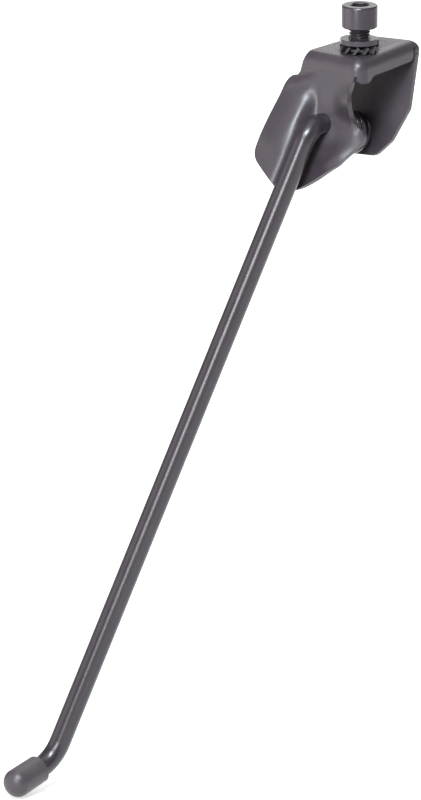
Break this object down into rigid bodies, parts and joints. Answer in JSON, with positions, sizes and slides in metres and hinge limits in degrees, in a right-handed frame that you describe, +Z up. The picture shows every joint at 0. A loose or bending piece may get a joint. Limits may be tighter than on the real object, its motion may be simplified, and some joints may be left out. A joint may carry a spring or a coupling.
{
  "type": "bicycle kickstand",
  "caption": "Side kickstand: pressed steel bracket with a knurled top and a clamping bolt, and a sprung bent leg that swings up to the rear.",
  "frame": {"origin": "where the mounting bolt's axis meets the top plate's seat face", "axes": "+Z up out of the seat face along the bolt, +Y forward, +X inwards, away from the leg"},
  "size_m": [0.2094, 0.09, 0.3594],
  "materials": {
    "painted_steel": "satin black paint over pressed steel",
    "painted_bar": "satin black paint over round bar",
    "blackened_steel": "black oxide",
    "spring_steel": "oiled black wire",
    "cap_rubber": "moulded rubber"
  },
  "bodies": {
    "bracket": {"bracket": "painted_steel", "mounting_bolt": "blackened_steel", "split_washer": "blackened_steel", "toothed_washer": "blackened_steel", "pivot_spring": "spring_steel"},
    "seat": {"spring_seat": "blackened_steel"},
    "leg": {"leg": "painted_bar", "foot_cap": "cap_rubber", "retaining_clip": "spring_steel"}
  },
  "joints": [
    {"name": "leg_lift", "type": "slide", "parent": "bracket", "child": "seat", "axis": [-0.9228, -0.2301, 0.309], "range_m": [0, 0.004], "stiffness_N_per_m": 22000, "springref_m": -0.005, "deforming": ["pivot_spring"]},
    {"name": "leg_swing", "type": "hinge", "parent": "seat", "child": "leg", "pos_m": [-0.0188, 0.0075, -0.0327], "axis": [-0.9228, -0.2301, 0.309], "range_deg": [0, 105]}
  ]
}
